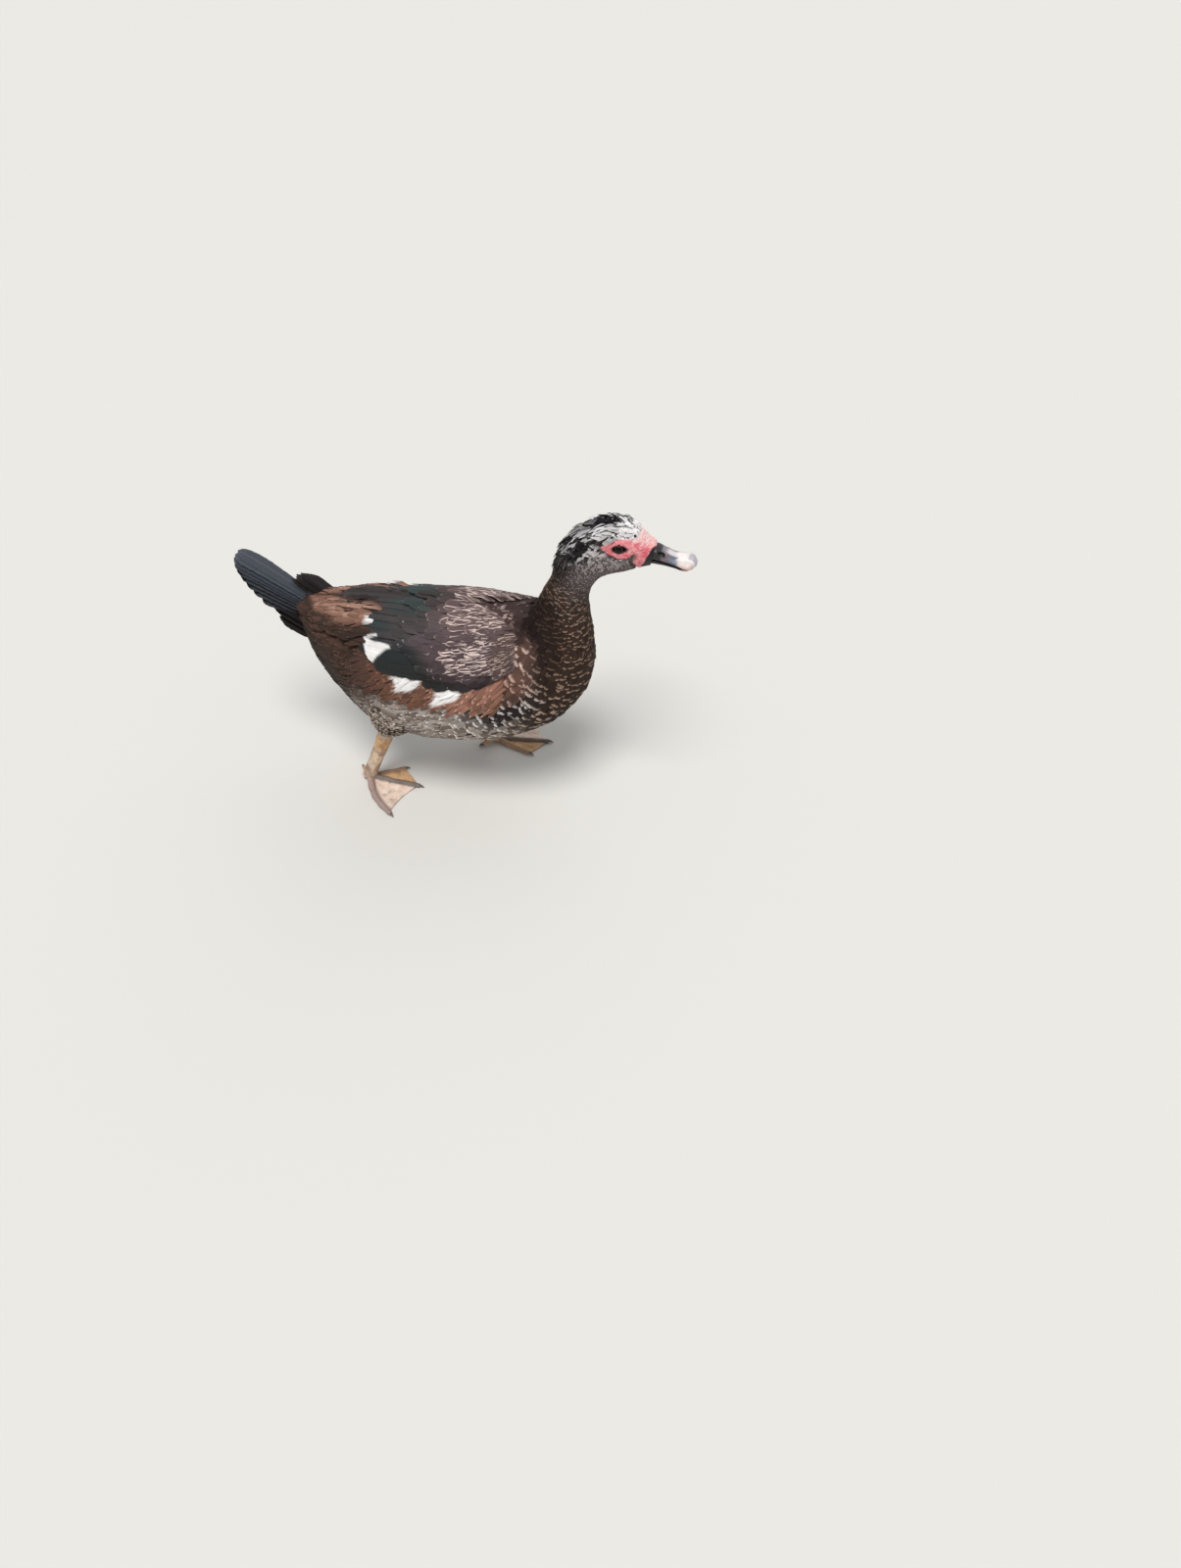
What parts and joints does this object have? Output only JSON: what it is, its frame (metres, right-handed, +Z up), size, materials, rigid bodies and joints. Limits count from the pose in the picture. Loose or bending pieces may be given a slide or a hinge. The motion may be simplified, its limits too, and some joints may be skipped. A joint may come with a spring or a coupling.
{
  "type": "muscovy duck",
  "caption": "Life-size muscovy duck in mid-stride on webbed feet, with folded wings, raised fan tail, bare red face and low crest.",
  "frame": {"origin": "middle of the box's bottom face, on the floor under the bird", "axes": "+X the way the bird faces, +Y its left side, +Z up"},
  "size_m": [0.5854, 0.2408, 0.4386],
  "materials": {
    "feathers": "soft body feathers, matt with a faint sheen",
    "wing_feathers": "stiff wing feathers with a green gloss",
    "tail_feathers": "stiff tail feathers with a slate sheen",
    "head_feathers": "short ruffled feathers",
    "bare_skin": "bare skin, slightly moist",
    "bill_horn": "smooth horn",
    "eye": "wet",
    "scaled_skin": "scaled skin"
  },
  "bodies": {
    "root": {"torso": "feathers", "neck": "feathers", "head": "head_feathers", "face_mask": "bare_skin", "bill_upper": "bill_horn", "bill_lower": "bill_horn", "tail": "tail_feathers", "eye_right": "eye", "wing_right": "wing_feathers", "thigh_right": "feathers", "shank_right": "scaled_skin", "foot_right": "scaled_skin", "eye_left": "eye", "wing_left": "wing_feathers", "thigh_left": "feathers", "shank_left": "scaled_skin", "foot_left": "scaled_skin"}
  },
  "joints": []
}
